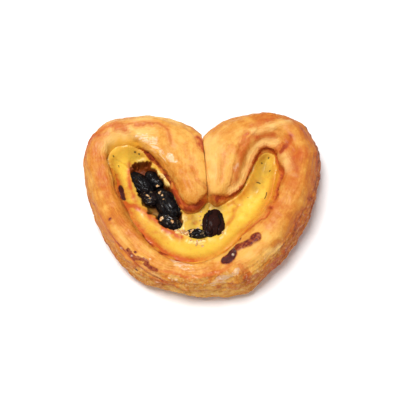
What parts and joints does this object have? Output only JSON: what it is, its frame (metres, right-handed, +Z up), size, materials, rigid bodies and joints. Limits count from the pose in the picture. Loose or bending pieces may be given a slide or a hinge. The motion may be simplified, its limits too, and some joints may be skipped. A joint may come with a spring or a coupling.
{
  "type": "danish pastry",
  "caption": "Heart-shaped danish pastry of laminated dough, with a custard filling and raisins baked into its hollow.",
  "frame": {"origin": "centre of the bounding box's bottom, on the surface the pastry rests on", "axes": "+Z up, +Y towards the cleft of the heart, +X to the right of the heart seen from above"},
  "size_m": [0.1068, 0.0838, 0.03],
  "materials": {
    "baked_dough": "satin",
    "custard": "satin",
    "raisin": "gloss"
  },
  "bodies": {
    "root": {"laminated_dough": "baked_dough", "custard_filling": "custard", "raisin_upper_left": "raisin", "raisin_upper_right": "raisin", "raisin_centre": "raisin", "raisin_under_arm": "raisin", "raisin_lower": "raisin", "raisin_round": "raisin", "raisin_small": "raisin"}
  },
  "joints": []
}
